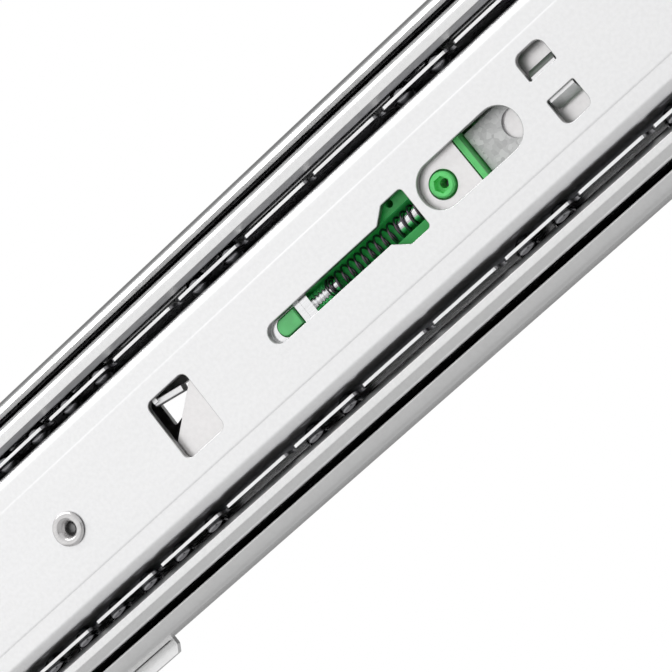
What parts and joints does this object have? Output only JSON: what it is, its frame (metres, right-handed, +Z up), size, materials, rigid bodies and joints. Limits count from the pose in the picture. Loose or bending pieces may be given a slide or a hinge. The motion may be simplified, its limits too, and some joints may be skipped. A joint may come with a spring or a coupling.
{
  "type": "cabinet drawer slide",
  "caption": "Side-mounted full-extension ball bearing drawer slide with rolled steel members, ball cages, release lever and a damped self-closing unit.",
  "frame": {"origin": "centre of the cabinet mounting face, midway along the slide and on its centre line", "axes": "+X along the slide towards its rear end, +Y out of the mounting face into the cabinet wall, +Z up; the drawer opens towards -X"},
  "size_m": [0.45, 0.0133, 0.0486],
  "materials": {
    "zinc_steel": "zinc-plated rolled sheet, satin",
    "bright_steel": "bright plated, smooth",
    "cage_steel": "plain cold-rolled strip, oiled",
    "ball_steel": "ground bearing ball",
    "spring_steel": "drawn wire, oiled",
    "damper_steel": "drawn tube, satin",
    "green_plastic": "moulded, semi-gloss",
    "light_green_plastic": "moulded, semi-gloss",
    "black_plastic": "moulded, matt"
  },
  "bodies": {
    "cabinet": {"cabinet_member": "zinc_steel", "striker": "bright_steel", "rear_bumper": "black_plastic"},
    "outer_cage": {"outer_ball_cage": "cage_steel", "outer_ball_upper_1": "ball_steel", "outer_ball_upper_2": "ball_steel", "outer_ball_upper_3": "ball_steel", "outer_ball_upper_4": "ball_steel", "outer_ball_upper_5": "ball_steel", "outer_ball_upper_6": "ball_steel", "outer_ball_lower_1": "ball_steel", "outer_ball_lower_2": "ball_steel", "outer_ball_lower_3": "ball_steel", "outer_ball_lower_4": "ball_steel", "outer_ball_lower_5": "ball_steel", "outer_ball_lower_6": "ball_steel"},
    "intermediate": {"intermediate_member": "zinc_steel", "front_bumper": "black_plastic"},
    "inner_cage": {"inner_ball_cage": "cage_steel", "inner_ball_upper_1": "ball_steel", "inner_ball_upper_2": "ball_steel", "inner_ball_upper_3": "ball_steel", "inner_ball_upper_4": "ball_steel", "inner_ball_upper_5": "ball_steel", "inner_ball_upper_6": "ball_steel", "inner_ball_upper_7": "ball_steel", "inner_ball_upper_8": "ball_steel", "inner_ball_upper_9": "ball_steel", "inner_ball_upper_10": "ball_steel", "inner_ball_upper_11": "ball_steel", "inner_ball_upper_12": "ball_steel", "inner_ball_lower_1": "ball_steel", "inner_ball_lower_2": "ball_steel", "inner_ball_lower_3": "ball_steel", "inner_ball_lower_4": "ball_steel", "inner_ball_lower_5": "ball_steel", "inner_ball_lower_6": "ball_steel", "inner_ball_lower_7": "ball_steel", "inner_ball_lower_8": "ball_steel", "inner_ball_lower_9": "ball_steel", "inner_ball_lower_10": "ball_steel", "inner_ball_lower_11": "ball_steel", "inner_ball_lower_12": "ball_steel"},
    "drawer": {"drawer_member": "zinc_steel", "release_rivet": "bright_steel", "unit_housing": "green_plastic", "spring_anchor": "bright_steel", "closing_spring": "spring_steel", "damper_cylinder": "damper_steel", "damper_cap": "black_plastic", "unit_bracket": "bright_steel"},
    "carriage": {"carriage": "light_green_plastic", "catch_plate": "bright_steel", "spring_pin": "bright_steel", "pull_bar": "zinc_steel", "latch_fork": "green_plastic", "damper_rod": "bright_steel", "damper_piston": "black_plastic"},
    "lever": {"release_lever": "bright_steel"}
  },
  "joints": [
    {"name": "intermediate_slide", "type": "slide", "parent": "cabinet", "child": "intermediate", "axis": [-1, 0, 0], "range_m": [0, 0.205]},
    {"name": "outer_cage_slide", "type": "slide", "parent": "cabinet", "child": "outer_cage", "axis": [-1, 0, 0], "range_m": [0, 0.1025]},
    {"name": "drawer_slide", "type": "slide", "parent": "intermediate", "child": "drawer", "axis": [-1, 0, 0], "range_m": [0, 0.22]},
    {"name": "inner_cage_slide", "type": "slide", "parent": "intermediate", "child": "inner_cage", "axis": [-1, 0, 0], "range_m": [0, 0.11]},
    {"name": "carriage_slide", "type": "slide", "parent": "drawer", "child": "carriage", "axis": [1, 0, 0], "range_m": [0, 0.012], "stiffness_N_per_m": 150, "springref_m": -0.02, "deforming": ["closing_spring"]},
    {"name": "release_lever_hinge", "type": "hinge", "parent": "drawer", "child": "lever", "pos_m": [-0.0147, -0.0106, -0.0007], "axis": [0, 1, 0], "range_deg": [0, 3]}
  ],
  "couplings": [
    {"joint": "outer_cage_slide", "follows": "intermediate_slide", "ratio": 0.5},
    {"joint": "inner_cage_slide", "follows": "drawer_slide", "ratio": 0.5}
  ]
}
